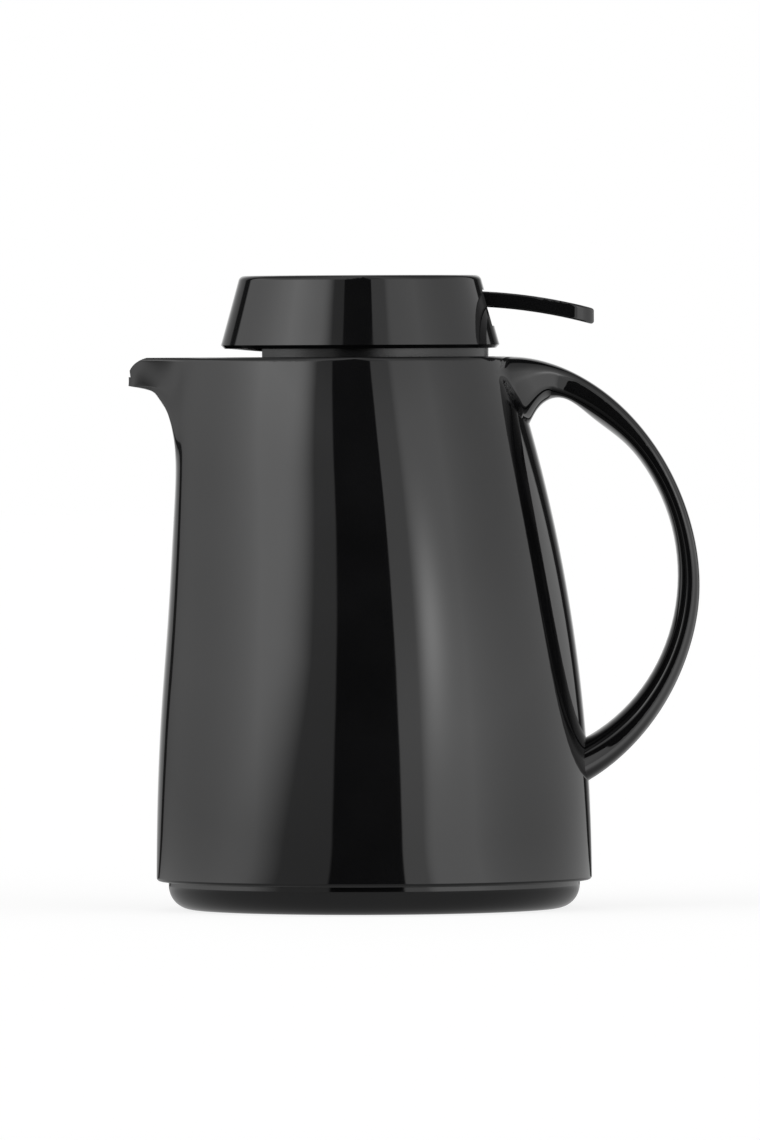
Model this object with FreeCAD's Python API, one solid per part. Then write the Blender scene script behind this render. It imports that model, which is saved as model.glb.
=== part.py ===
"""Glass-lined thermal carafe with a screw-in lid and a thumb lever, in millimetres.

The origin is the middle of the foot on the table, Z is up, the spout points to -X and the handle to +X.
"""
import FreeCAD, Part
import math
import os

from FreeCAD import Vector

# Body: a round cone whose upper end leans toward the spout
FOOT_RADIUS = 74.0
FOOT_HEIGHT = 9.6
FOOT_ROUNDING = 1.2
RIM_RADIUS = 50.5
RIM_HEIGHT = 187.5
RIM_ROUNDING = 1.4
RIM_STEPS = 3
MOUTH_OFFSET = 4.0
TAPER_POWER = 2.1
SHELL_WALL = 3.0
LOWER_LEVELS = 7

# Spout: the body's front swells out broadly and flares into a narrow beak below the rim
KEEL_DROP = 107.5
KEEL_SWELL = 4.8
SWELL_POWER = 4
BEAK_DROP = 37.5
BEAK_FLARE = 13.2
BEAK_POWER = 2.3
BEAK_ANGLE = 7.8
BEAK_BLUNTNESS = 3
BEAK_SIDE_POWER = 2.2
RIDGE_ANGLE = 4.5
BEAK_LEVELS = 6
LIP_DROP = 10.1
LIP_STEP = 0.5
LIP_REACH = 2.7
TIP_DROP = 6.5
TIP_LENGTH = 9.1
TIP_CROWN = 0.3
CHANNEL_WALL = 2.6
CHANNEL_ANGLE = 40.0
CHANNEL_DEPTH = 12.5
CHANNEL_EXIT = 4.4
SECTION_POINTS = 40
SECTION_CROWDING = 2.0

# Neck that takes the lid, with a floor round the mouth of the flask
RIM_WIDTH = 6.3
NECK_WALL = 2.8
NECK_DEPTH = 17.5
NECK_FLOOR = 3.0
MOUTH_RADIUS = 24.5
CORE_DROP = 5.5
SPOUT_FLOOR_DROP = 16.0
SPOUT_FLOOR_HALF_WIDTH = 34.0

# Handle: the space between two ovals, with fillets where it runs into the body below the rim
HANDLE_AXIS = 47.0
HANDLE_MIDDLE = 110.0
HANDLE_REACH = 64.1
HANDLE_CREST = -0.1
HANDLE_FALL = 74.5
HANDLE_POWER = 1.87
GRIP_MIDDLE = 113.0
GRIP_REACH = 56.6
GRIP_TOP_DROP = 13.0
GRIP_FALL = 61.5
GRIP_HALF_WIDTH = 11.0
ROOT_SIDE_FILLET = 42.0
ROOT_LOW_FILLET = 6.0
ROOT_DROP = 27.0
ROOT_SIDE_OVERLAP = 0.5
ROOT_FILLET = 24.0
ROOT_FILLET_SPREAD = 12.0
ROOT_ANGLE = 78.0
FOOT_ROOT_WIDENING = 4.0
FOOT_ROOT_SPREAD = 28.0
GRIP_OUTER_POWER = 3.4
GRIP_INNER_POWER = 2.1
ROOT_OUTER_POWER = 5.0
HANDLE_SECTION_POINTS = 20
GRIP_SECTIONS = 11
ROOT_SECTIONS = 6
HANDLE_START_ANGLE = -73.0
HANDLE_END_ANGLE = 97.0

# Base, which plugs into the body from below and stops at a ledge
BASE_CLEARANCE = 0.3
SOCKET_WALL = 3.8
BASE_WALL = 2.5
BASE_PLUG = 14.0
BASE_ROUNDING = 8.0
FOOT_RING_WIDTH = 8.0
FOOT_RECESS = 1.5
LEDGE_WIDTH = 4.0
LEDGE_HEIGHT = 2.0
GASKET_THICKNESS = 1.4

# Glass flask and what holds it
CUSHION_HEIGHT = 12.0
CUSHION_RADIUS = 34.0
CUSHION_HOLE = 14.0
GLASS = 1.5
VACUUM_GAP = 3.5
FLASK_AIR_GAP = 4.0
FLASK_CORNER = 22.0
CORNER_STEPS = 3
SHOULDER_DROP = 66.0
SHOULDER_LENGTH = 50.0
SHOULDER_STEPS = 4
LIP_HEIGHT = 2.0
FLASK_NECK_RADIUS = 30.0
PUMP_TIP_LENGTH = 8.0
PUMP_TIP_RADIUS = 4.0
MOUTH_SEAL_THICKNESS = 1.5
MOUTH_SEAL_WALL = 2.2
MOUTH_SEAL_DROP = 5.5
PAD_COUNT = 3
PAD_HALF_ANGLE = 5.0
PAD_HEIGHT = 10.0
PAD_CLEARANCE = 0.1

# Lid cover
LID_GAP = 1.9
LID_OVERHANG = 3.75
LID_HEIGHT = 24.7
LID_TAPER = 6.5
LID_EDGE_HEIGHT = 1.2
LID_TOP_ROUNDING = 2.0
LID_WALL = 2.2
LID_SEAT = 1.0
SLOT_HALF_WIDTH = 7.9
SLOT_BOTTOM_DROP = 17.2
SLOT_TOP_DROP = 5.0

# Lower half of the lid: deck, skirt with the pouring window, guide and lugs
DECK_THICKNESS = 3.0
DECK_CLEARANCE = 0.15
DECK_DISH = 1.0
DECK_FLAT_RADIUS = 33.0
SKIRT_CLEARANCE = 0.6
SKIRT_WALL = 2.6
SKIRT_FOOT_GAP = 1.6
WINDOW_HALF_WIDTH = 28.3
WINDOW_SILL = 7.0
GUIDE_RADIUS = 7.0
GUIDE_RISE = 5.0
GUIDE_FALL = 6.0
GUIDE_CLEARANCE = 0.06
LUG_THICKNESS = 4.0
LUG_GAP = 0.7
LUG_RADIUS = 4.5
LID_SEAL_SIZE = 2.0
LID_SEAL_CLEARANCE = 0.2
LID_SEAL_SIDE = 0.3
LID_SEAL_LIFT = 1.2

# Lever
LEVER_WIDTH = 15.0
LEVER_THICKNESS = 5.3
LEVER_REACH = 79.5
LEVER_BEND = 178.0
LEVER_CREST = 14.8
LEVER_DROP = 5.3
LEVER_EDGE_ROUNDING = 1.0
PIVOT_ARM = 18.0
PIVOT_RISE = 8.6
PIN_RADIUS = 1.5
PIN_CLEARANCE = 0.04
HUB_RADIUS = 4.2
NOSE_RADIUS = 2.0
FORK_CLEARANCE = 0.5

# Valve
STEM_RADIUS = 4.0
STEM_HEAD_RADIUS = 8.0
STEM_HEAD = 2.0
STEM_SPIGOT = 1.5
STEM_SPIGOT_RADIUS = 4.4
HEAD_CLEARANCE = 0.3
STEM_SEAL_HEIGHT = 2.0
STEM_SEAL_WALL = 1.8
STEM_SEAL_CLEARANCE = 0.1
PLUG_OVERLAP = 2.0
PLUG_PLATE = 3.0
PLUG_BOSS_GAP = 3.5
PLUG_BOSS_DEPTH = 4.6
PLUG_HUB_RADIUS = 8.0
PLUG_HUB_HEIGHT = 5.0
SOCKET_CLEARANCE = 0.05
STEM_SOCKET_FLOOR = 2.0
VALVE_SEAL_THICKNESS = 1.3
VALVE_SEAL_EXTRA = 1.5
SEAT_CLEARANCE = 0.3
SPRING_RADIUS = 6.2
SPRING_WIRE_RADIUS = 0.4
SPRING_TURNS = 3
SPRING_END_GAP = 0.1
SPRING_SPIGOT_RADIUS = 4.8
SPRING_SPIGOT = 1.8

# How far cutting forms run past what they cut, and half a circle in degrees
MARGIN = 10.0
HALF_TURN = 180

# Heights and radii that follow from the sizes above
NECK_BORE = RIM_RADIUS - RIM_WIDTH
FLOOR_TOP = RIM_HEIGHT - NECK_DEPTH
FLOOR_BOTTOM = FLOOR_TOP - NECK_FLOOR
BEAK_HEIGHT = RIM_HEIGHT - BEAK_DROP
KEEL_HEIGHT = RIM_HEIGHT - KEEL_DROP
BEAK_UNDERSIDE = RIM_HEIGHT - LIP_DROP
HANDLE_RISE = RIM_HEIGHT + HANDLE_CREST - HANDLE_MIDDLE
GRIP_RISE = RIM_HEIGHT - GRIP_TOP_DROP - GRIP_MIDDLE
SOCKET_RADIUS = FOOT_RADIUS - SOCKET_WALL
BASE_RADIUS = SOCKET_RADIUS - BASE_CLEARANCE
BASE_TOP = FOOT_HEIGHT + BASE_PLUG
LEDGE_BOTTOM = BASE_TOP + GASKET_THICKNESS
LEDGE_TOP = LEDGE_BOTTOM + LEDGE_HEIGHT
BASE_FLOOR = FOOT_RECESS + BASE_WALL
FLASK_BOTTOM = BASE_FLOOR + CUSHION_HEIGHT
FLASK_TOP = FLOOR_BOTTOM - MOUTH_SEAL_THICKNESS
GLASS_TOP = FLASK_TOP - LIP_HEIGHT
SHOULDER_BOTTOM = FLASK_TOP - SHOULDER_DROP
SKIRT_RADIUS = NECK_BORE - SKIRT_CLEARANCE
SKIRT_BOTTOM = FLOOR_TOP + SKIRT_FOOT_GAP
DECK_BOTTOM = RIM_HEIGHT + LID_GAP
DECK_TOP = DECK_BOTTOM + DECK_THICKNESS
LID_BOTTOM = DECK_BOTTOM + LID_SEAT
LID_TOP = LID_BOTTOM + LID_HEIGHT
LID_RADIUS = SKIRT_RADIUS + LID_OVERHANG
LID_TOP_RADIUS = LID_RADIUS - LID_TAPER
LID_CEILING = LID_TOP - LID_WALL
LID_SEAT_RADIUS = LID_RADIUS - LID_WALL
PIVOT_X = PIVOT_ARM
PIVOT_Z = DECK_TOP + PIVOT_RISE
HEAD_BOTTOM = PIVOT_Z + NOSE_RADIUS + HEAD_CLEARANCE
HEAD_TOP = HEAD_BOTTOM + STEM_HEAD
SEAL_BOTTOM = FLOOR_TOP + SEAT_CLEARANCE
PLATE_BOTTOM = SEAL_BOTTOM + VALVE_SEAL_THICKNESS
PLATE_TOP = PLATE_BOTTOM + PLUG_PLATE
PLUG_RADIUS = MOUTH_RADIUS + PLUG_OVERLAP
PLUG_BOSS_RADIUS = MOUTH_RADIUS - PLUG_BOSS_GAP
PLUG_BOTTOM = PLATE_BOTTOM - PLUG_BOSS_DEPTH


def taper(height):
    """Share of the body's narrowing reached at a height: 0 at the foot, 1 at the rim."""
    share = (height - FOOT_HEIGHT) / (RIM_HEIGHT - FOOT_HEIGHT)
    return max(share, 0.0) ** TAPER_POWER


def body_radius(height):
    """Radius of the plain cone at a height."""
    return FOOT_RADIUS - (FOOT_RADIUS - RIM_RADIUS) * taper(height)


def body_middle(height):
    """X of the middle of the plain cone at a height."""
    return -MOUTH_OFFSET * taper(height)


def front_reach(height):
    """How far the plain cone stands out toward the spout at a height."""
    return body_radius(height) - body_middle(height)


def swell(height):
    """How far the body's front swells out of the cone: it grows up to the beak, then levels off to the rim."""
    if height < BEAK_HEIGHT:
        return KEEL_SWELL * max(0.0, (height - KEEL_HEIGHT) / (BEAK_HEIGHT - KEEL_HEIGHT)) ** 2
    slope = 2 * KEEL_SWELL / (BEAK_HEIGHT - KEEL_HEIGHT)
    rise = height - BEAK_HEIGHT
    return KEEL_SWELL + slope * rise * (1 - rise / (RIM_HEIGHT - BEAK_HEIGHT) / 2)


def spout_reach():
    """Distance from the base's axis to the tip of the beak."""
    return front_reach(BEAK_HEIGHT) + KEEL_SWELL + BEAK_FLARE + LIP_REACH


def ridge_reach(height):
    """Distance of the beak's front ridge from the base's axis: a flare, then the ledge of the drip edge."""
    if height > BEAK_UNDERSIDE:
        return spout_reach()
    rise = max(0.0, (height - BEAK_HEIGHT) / (BEAK_UNDERSIDE - BEAK_HEIGHT))
    flare = 1 - max(0.0, 1 - rise ** BEAK_POWER) ** (1 / BEAK_POWER)
    below = min(height, BEAK_HEIGHT)
    return front_reach(below) + swell(below) + BEAK_FLARE * flare


def side_reach(height):
    """The same for the beak's sides, which rise to the rim in one sweep."""
    rise = max(0.0, (height - BEAK_HEIGHT) / (RIM_HEIGHT - BEAK_HEIGHT))
    below = min(height, BEAK_HEIGHT)
    return front_reach(below) + swell(below) + (BEAK_FLARE + LIP_REACH) * rise ** BEAK_SIDE_POWER


def bell(angle, width):
    """Share of a blunt ridge at an angle from the front: 1 on it, a half at its width in degrees."""
    return 1 / (1 + abs(angle / math.radians(width)) ** BEAK_BLUNTNESS)


def outline_point(height, angle, inset=0.0):
    """A point of the body's outline, at an angle from the front."""
    facing = (1 + math.cos(angle)) / 2
    ridge = bell(angle, RIDGE_ANGLE) ** 2
    reach = ridge * ridge_reach(height) + (1 - ridge) * side_reach(height)
    beak = facing * bell(angle, BEAK_ANGLE) * (reach - front_reach(height) - swell(height))
    radius = body_radius(height) + swell(height) * facing ** SWELL_POWER + beak - inset
    return Vector(body_middle(height) - radius * math.cos(angle), radius * math.sin(angle), height)


def body_levels():
    """Heights of the outlines from the foot to the ledge under the beak's tip, closer in the flare."""
    levels = []
    for step in range(LOWER_LEVELS + 1):
        levels.append(FOOT_HEIGHT + (BEAK_HEIGHT - FOOT_HEIGHT) * step / LOWER_LEVELS)
    for step in range(1, BEAK_LEVELS + 1):
        rise = math.sin(math.pi / 2 * step / BEAK_LEVELS) ** (2 / BEAK_POWER)
        levels.append(BEAK_HEIGHT + (BEAK_UNDERSIDE - BEAK_HEIGHT) * rise)
    return levels + [BEAK_UNDERSIDE + LIP_STEP]


def smooth_loop(points):
    """Closed smooth outline through an even number of points, as two curves."""
    count = len(points)
    loop = Part.BSplineCurve()
    loop.interpolate(Points=points, PeriodicFlag=True, Parameters=list(range(count + 1)))
    halves = []
    for start, end in ((0, count // 2), (count // 2, count)):
        half = loop.copy()
        half.segment(start, end)
        halves.append(half)
    return halves


def stations_along(loops):
    """Station of each closed outline: the mean distance run from the first one."""
    rings = [[pole for half in loop for pole in half.getPoles()] for loop in loops]
    stations = [0.0]
    for before, after in zip(rings, rings[1:]):
        lengths = [one.distanceToPoint(two) for one, two in zip(before, after)]
        stations.append(stations[-1] + sum(lengths) / len(lengths))
    return stations


def skin(curves, stations):
    """Smooth face through curves that share their knots, each at its station."""
    runs = []
    for poles in zip(*(curve.getPoles() for curve in curves)):
        run = Part.BSplineCurve()
        run.interpolate(Points=list(poles), Parameters=stations)
        runs.append(run)
    across, along = curves[0], runs[0]
    surface = Part.BSplineSurface()
    surface.buildFromPolesMultsKnots(
        [run.getPoles() for run in runs],
        across.getMultiplicities(),
        along.getMultiplicities(),
        across.getKnots(),
        along.getKnots(),
        False,
        False,
        across.Degree,
        along.Degree,
    )
    return surface.toShape()


def skinned(loops):
    """Solid through closed outlines, with a flat face at each end."""
    stations = stations_along(loops)
    faces = [skin(halves, stations) for halves in zip(*loops)]
    for loop in (loops[0], loops[-1]):
        faces.append(Part.Face(Part.Wire([half.toShape() for half in loop])))
    shell = Part.makeShell(faces)
    shell.sewShape()
    if Part.makeSolid(shell).Volume < 0:
        shell.reverse()
    return Part.makeSolid(shell)


def body_outline(height, inset=0.0):
    """Closed outline of the body at a height, with its points crowded toward the beak."""
    points = []
    for step in range(SECTION_POINTS):
        share = 2 * step / SECTION_POINTS - 1
        angle = math.pi * math.copysign(abs(share) ** SECTION_CROWDING, share)
        points.append(outline_point(height, angle, inset))
    return smooth_loop(points)


def cylinder(radius, bottom, top, middle=0.0):
    """Upright round bar about a point on the X axis."""
    return Part.makeCylinder(radius, top - bottom, Vector(middle, 0, bottom))


def ring(outer, inner, bottom, top, middle=0.0):
    """Upright round ring about a point on the X axis."""
    return cylinder(outer, bottom, top, middle).cut(cylinder(inner, bottom - MARGIN, top + MARGIN, middle))


def block(x_range, y_range, z_range):
    """Box between the given limits."""
    sizes = [end - start for start, end in (x_range, y_range, z_range)]
    return Part.makeBox(*sizes, Vector(x_range[0], y_range[0], z_range[0]))


def rounded_corner(before, here, after, rounding):
    """Arc that rounds the corner at a point between its neighbours."""
    back = (before - here).normalize()
    ahead = (after - here).normalize()
    half = back.getAngle(ahead) / 2
    setback = rounding / math.tan(half)
    crest = here + (back + ahead).normalize() * (rounding / math.sin(half) - rounding)
    return Part.Arc(here + back * setback, crest, here + ahead * setback).toShape()


def rounded_outline(corners):
    """Closed wire in the XZ plane through corners given as (x, z) or (x, z, rounding)."""
    points = [Vector(corner[0], 0, corner[1]) for corner in corners]
    neighbours = zip(points[-1:] + points, points, points[1:] + points[:1])
    edges = []
    ends = []
    for corner, (before, here, after) in zip(corners, neighbours):
        if len(corner) > 2:
            arc = rounded_corner(before, here, after, corner[2])
            edges.append(arc)
            ends.append((arc.firstVertex().Point, arc.lastVertex().Point))
        else:
            ends.append((here, here))
    for (_, leave), (arrive, _) in zip(ends, ends[1:] + ends[:1]):
        edges.append(Part.makeLine(leave, arrive))
    return Part.Wire(Part.__sortEdges__(edges))


def quarter_oval(start, corner, end):
    """Quarter of an oval that touches both sides of the corner between its ends."""
    curve = Part.BezierCurve()
    curve.setPoles([start, corner, end])
    curve.setWeight(2, math.sqrt(0.5))
    return curve.toShape()


def turned(wire, middle=0.0):
    """Solid of a closed outline turned about an upright axis through a point on the X axis."""
    solid = Part.Face(wire).revolve(Vector(0, 0, 0), Vector(0, 0, 1), 360)
    solid.translate(Vector(middle, 0, 0))
    return solid


def crosswise(wire, half_width):
    """Solid of an outline in the XZ plane, drawn out to both sides along Y."""
    face = Part.Face(wire)
    face.translate(Vector(0, -half_width, 0))
    return face.extrude(Vector(0, 2 * half_width, 0))


def rim_outlines(bottom):
    """Outlines of the body from a height up to the rim, drawn in where the rim is rounded."""
    straight = RIM_HEIGHT - RIM_ROUNDING
    outlines = [body_outline(height) for height in (bottom, (bottom + straight) / 2, straight)]
    for step in range(1, RIM_STEPS + 1):
        turn = math.pi / 2 * step / RIM_STEPS
        inset = RIM_ROUNDING * (1 - math.cos(turn))
        outlines.append(body_outline(straight + RIM_ROUNDING * math.sin(turn), inset))
    return outlines


def outer_body():
    """Solid of the body's outer form with the spout, before anything is hollowed."""
    levels = body_levels()
    lower = skinned([body_outline(height) for height in levels])
    upper = skinned(rim_outlines(levels[-1]))
    solid = lower.fuse(upper).Solids[0]
    foot = [edge for edge in solid.Edges if edge.BoundBox.ZMax < FOOT_HEIGHT + LIP_STEP]
    return solid.makeFillet(FOOT_ROUNDING, foot)


def tip_cut():
    """What the rounded end of the beak leaves off its tip, seen from the side."""
    low = RIM_HEIGHT - TIP_DROP
    crown_height = RIM_HEIGHT + TIP_CROWN
    high = RIM_HEIGHT + MARGIN
    tip_x = -spout_reach()
    crown_x = tip_x + TIP_LENGTH
    tip = Vector(tip_x, 0, low)
    crown = Vector(crown_x, 0, crown_height)
    arc = quarter_oval(crown, Vector(tip_x, 0, crown_height), tip)
    corners = [
        tip,
        Vector(tip_x - MARGIN, 0, low),
        Vector(tip_x - MARGIN, 0, high),
        Vector(crown_x, 0, high),
        crown,
    ]
    return crosswise(Part.Wire([arc] + Part.makePolygon(corners).Edges), FOOT_RADIUS)


def channel_point(share):
    """A point of the channel's wall in plan, from -1 to 1 across it. Both ends run into the neck's bore."""
    angle = math.radians(CHANNEL_ANGLE) * math.copysign(abs(share) ** SECTION_CROWDING, share)
    wall = outline_point(RIM_HEIGHT, angle, CHANNEL_WALL)
    axis = Vector(-MOUTH_OFFSET, 0, RIM_HEIGHT)
    outward = wall - axis
    return axis + outward * (1 - share ** 2 + share ** 2 * NECK_BORE / outward.Length)


def pouring_channel():
    """Space of the channel from the neck to the beak's tip, over a floor that rises outward."""
    points = [channel_point(2 * step / SECTION_POINTS - 1) for step in range(SECTION_POINTS + 1)]
    curve = Part.BSplineCurve()
    curve.interpolate(points)
    neck_axis = Vector(-MOUTH_OFFSET, 0, RIM_HEIGHT)
    sides = [Part.makeLine(points[-1], neck_axis), Part.makeLine(neck_axis, points[0])]
    face = Part.Face(Part.Wire([curve.toShape()] + sides))
    face.translate(Vector(0, 0, -NECK_DEPTH))
    plan = face.extrude(Vector(0, 0, NECK_DEPTH + MARGIN))
    neck_front = -MOUTH_OFFSET - NECK_BORE
    tip = -spout_reach() - MARGIN
    high = RIM_HEIGHT + 2 * MARGIN
    half_exit = CHANNEL_EXIT / 2
    exit_way = block((tip, neck_front), (-half_exit, half_exit), (FLOOR_TOP, high - MARGIN))
    slope = (CHANNEL_DEPTH - TIP_DROP) / (-spout_reach() - neck_front)
    low = RIM_HEIGHT - CHANNEL_DEPTH
    side = [
        (-MOUTH_OFFSET, low + slope * NECK_BORE),
        (tip, low + slope * (tip - neck_front)),
        (tip, high),
        (-MOUTH_OFFSET, high),
    ]
    above_floor = crosswise(rounded_outline(side), FOOT_RADIUS)
    return plan.fuse(exit_way).common(above_floor)


def flask_chamber():
    """Space inside the body for the flask, left round the neck and under the channel."""
    chamber_height = RIM_HEIGHT - CORE_DROP - LEDGE_TOP
    circles = []
    for step in range(LOWER_LEVELS + 1):
        height = LEDGE_TOP + chamber_height * step / LOWER_LEVELS
        middle = Vector(body_middle(height), 0, height)
        radius = body_radius(height) - SHELL_WALL
        ends = [(start, start + HALF_TURN) for start in (0, HALF_TURN)]
        circles.append(Part.Wire([Part.makeCircle(radius, middle, Vector(0, 0, 1), *pair) for pair in ends]))
    chamber = Part.makeLoft(circles, True, True)
    neck = cylinder(NECK_BORE + NECK_WALL, FLOOR_BOTTOM, RIM_HEIGHT, -MOUTH_OFFSET)
    under_channel = block(
        (-spout_reach(), -MOUTH_OFFSET),
        (-SPOUT_FLOOR_HALF_WIDTH, SPOUT_FLOOR_HALF_WIDTH),
        (RIM_HEIGHT - SPOUT_FLOOR_DROP, RIM_HEIGHT),
    )
    return chamber.cut(neck).cut(under_channel)


def jug_shell(body):
    """Moulded body with the spout, the neck and the seat of the base."""
    hollows = [
        flask_chamber(),
        cylinder(SOCKET_RADIUS, FOOT_HEIGHT - MARGIN, LEDGE_BOTTOM),
        cylinder(SOCKET_RADIUS - LEDGE_WIDTH, FOOT_HEIGHT, LEDGE_TOP),
        cylinder(NECK_BORE, FLOOR_TOP, RIM_HEIGHT + MARGIN, -MOUTH_OFFSET),
        cylinder(MOUTH_RADIUS, FLOOR_BOTTOM - MARGIN, RIM_HEIGHT, -MOUTH_OFFSET),
        pouring_channel(),
        tip_cut(),
    ]
    shell = body
    for hollow in hollows:
        shell = shell.cut(hollow)
    return shell


def oval_reach(angle, middle, reach, rise, fall, power):
    """Distance from the handle's centre to an oval, along a ray at an angle above the X axis."""
    near, far = 0.0, reach + rise + fall
    for _ in range(50):
        length = (near + far) / 2
        across = abs(length * math.cos(angle)) / reach
        height = HANDLE_MIDDLE + length * math.sin(angle) - middle
        up = abs(height) / (rise if height > 0 else fall)
        if across ** power + up ** power > 1:
            far = length
        else:
            near = length
    return near


def foot_share(degrees):
    """How far a handle section has grown into the lower root: 0 along the grip, 1 at the end."""
    return max(0.0, 1 - (degrees - HANDLE_START_ANGLE) / FOOT_ROOT_SPREAD) ** 2


def root_widening(x, height):
    """How far each side of the upper root rounds out toward the body at a height, like a fillet in plan."""
    rise = gentle_step((height - RIM_HEIGHT + ROOT_DROP) / ROOT_DROP)
    fillet = ROOT_LOW_FILLET + (ROOT_SIDE_FILLET - ROOT_LOW_FILLET) * rise
    reach = body_radius(height) + fillet - ROOT_SIDE_OVERLAP
    start = math.sqrt(reach ** 2 - (GRIP_HALF_WIDTH + fillet) ** 2)
    touch = start * fillet / reach
    along = min(max(0.0, start + body_middle(height) - x), touch)
    return fillet - math.sqrt(fillet ** 2 - along ** 2)


def gentle_step(share):
    """Smooth step from 0 to 1."""
    share = min(max(share, 0.0), 1.0)
    return share ** 2 * (3 - 2 * share)


def root_fillet(degrees):
    """How far the handle's inner side has turned down along the body, from 0 to 1."""
    return gentle_step((degrees - ROOT_ANGLE) / ROOT_FILLET_SPREAD)


def outer_power(degrees):
    """Squareness of a handle section's outer half, which grows from the grip's middle to the upper root."""
    growth = ROOT_OUTER_POWER - GRIP_OUTER_POWER
    return GRIP_OUTER_POWER + growth * gentle_step(degrees / HANDLE_END_ANGLE)


def handle_section(degrees):
    """Closed section of the handle on a ray from the handle's centre: square outside, rounder inside."""
    angle = math.radians(degrees)
    outer = oval_reach(angle, HANDLE_MIDDLE, HANDLE_REACH, HANDLE_RISE, HANDLE_FALL, HANDLE_POWER)
    inner = oval_reach(angle, GRIP_MIDDLE, GRIP_REACH, GRIP_RISE, GRIP_FALL, 2)
    inner -= ROOT_FILLET * root_fillet(degrees)
    ray = Vector(math.cos(angle), 0, math.sin(angle))
    middle = Vector(HANDLE_AXIS, 0, HANDLE_MIDDLE) + ray * ((outer + inner) / 2)
    half_width = GRIP_HALF_WIDTH + FOOT_ROOT_WIDENING * foot_share(degrees)
    points = []
    for step in range(HANDLE_SECTION_POINTS):
        turn = 2 * math.pi * step / HANDLE_SECTION_POINTS + math.pi / 2
        roundness = 2 / (outer_power(degrees) if math.cos(turn) > 0 else GRIP_INNER_POWER)
        along = math.copysign(abs(math.cos(turn)) ** roundness, math.cos(turn))
        side = math.copysign(abs(math.sin(turn)) ** roundness, math.sin(turn))
        point = middle + ray * (along * (outer - inner) / 2)
        widening = root_widening(point.x, point.z) if degrees > 0 else 0.0
        points.append(point + Vector(0, side * (half_width + widening), 0))
    return smooth_loop(points)


def handle(body):
    """D-shaped handle, ending on the body's surface."""
    grip_step = (ROOT_ANGLE - HANDLE_START_ANGLE) / GRIP_SECTIONS
    root_step = (HANDLE_END_ANGLE - ROOT_ANGLE) / ROOT_SECTIONS
    angles = [HANDLE_START_ANGLE + grip_step * step for step in range(GRIP_SECTIONS)]
    angles += [ROOT_ANGLE + root_step * step for step in range(ROOT_SECTIONS + 1)]
    return skinned([handle_section(angle) for angle in angles]).cut(body)


def base_cover():
    """Base with a rounded lower edge, a foot ring and the plug that fits in the body."""
    inside = BASE_RADIUS - BASE_WALL
    foot_outer = BASE_RADIUS - BASE_ROUNDING
    foot_inner = foot_outer - FOOT_RING_WIDTH
    return turned(rounded_outline([
        (foot_inner, 0),
        (BASE_RADIUS, 0, BASE_ROUNDING),
        (BASE_RADIUS, BASE_TOP),
        (inside, BASE_TOP),
        (inside, BASE_ROUNDING),
        (foot_outer, BASE_FLOOR),
        (0, BASE_FLOOR),
        (0, FOOT_RECESS),
        (foot_inner, FOOT_RECESS),
    ]))


def base_gasket():
    """Ring between the top edge of the base and the ledge in the body."""
    return ring(BASE_RADIUS, BASE_RADIUS - BASE_WALL, BASE_TOP, LEDGE_BOTTOM)


def flask_radius():
    """Outer radius of the flask: what the body leaves at the shoulder, on the spout's side."""
    room = front_reach(SHOULDER_BOTTOM) - SHELL_WALL
    return room - MOUTH_OFFSET - FLASK_AIR_GAP


def bottle(inset, top):
    """Solid bottle form in short straight runs: the flask's outer form drawn in by an inset."""
    radius = flask_radius() - inset
    neck = FLASK_NECK_RADIUS - inset
    bottom = FLASK_BOTTOM + inset
    corner = FLASK_CORNER - inset
    outline = [(0, bottom)]
    for step in range(CORNER_STEPS + 1):
        turn = math.pi / 2 * step / CORNER_STEPS
        outline.append((radius - corner * (1 - math.sin(turn)), bottom + corner * (1 - math.cos(turn))))
    for step in range(SHOULDER_STEPS + 1):
        share = step / SHOULDER_STEPS
        narrowing = (1 - math.cos(math.pi * share)) / 2
        outline.append((radius - (radius - neck) * narrowing, SHOULDER_BOTTOM + SHOULDER_LENGTH * share))
    outline += [(neck, top), (0, top)]
    return turned(rounded_outline(outline), -MOUTH_OFFSET)


def flask_outer():
    """Outer glass with the sealed pumping tip under its bottom."""
    glass = bottle(0.0, GLASS_TOP).cut(bottle(GLASS, GLASS_TOP + MARGIN))
    tip_end = Vector(-MOUTH_OFFSET, 0, FLASK_BOTTOM - PUMP_TIP_LENGTH)
    tip = Part.makeCone(PUMP_TIP_RADIUS / 2, PUMP_TIP_RADIUS, PUMP_TIP_LENGTH, tip_end)
    return glass.fuse(tip).removeSplitter()


def flask_inner():
    """Inner glass, turned over at the lip so that it closes the gap to the outer glass."""
    inset = GLASS + VACUUM_GAP
    glass = bottle(inset, FLASK_TOP).cut(bottle(inset + GLASS, FLASK_TOP + MARGIN))
    inside = FLASK_NECK_RADIUS - inset - GLASS
    lip = rounded_outline([
        (inside, GLASS_TOP),
        (FLASK_NECK_RADIUS, GLASS_TOP),
        (FLASK_NECK_RADIUS, FLASK_TOP),
        (inside, FLASK_TOP),
    ])
    collar = cylinder(FLASK_NECK_RADIUS, GLASS_TOP, FLASK_TOP, -MOUTH_OFFSET)
    return glass.cut(collar).fuse(turned(lip, -MOUTH_OFFSET)).removeSplitter()


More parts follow.
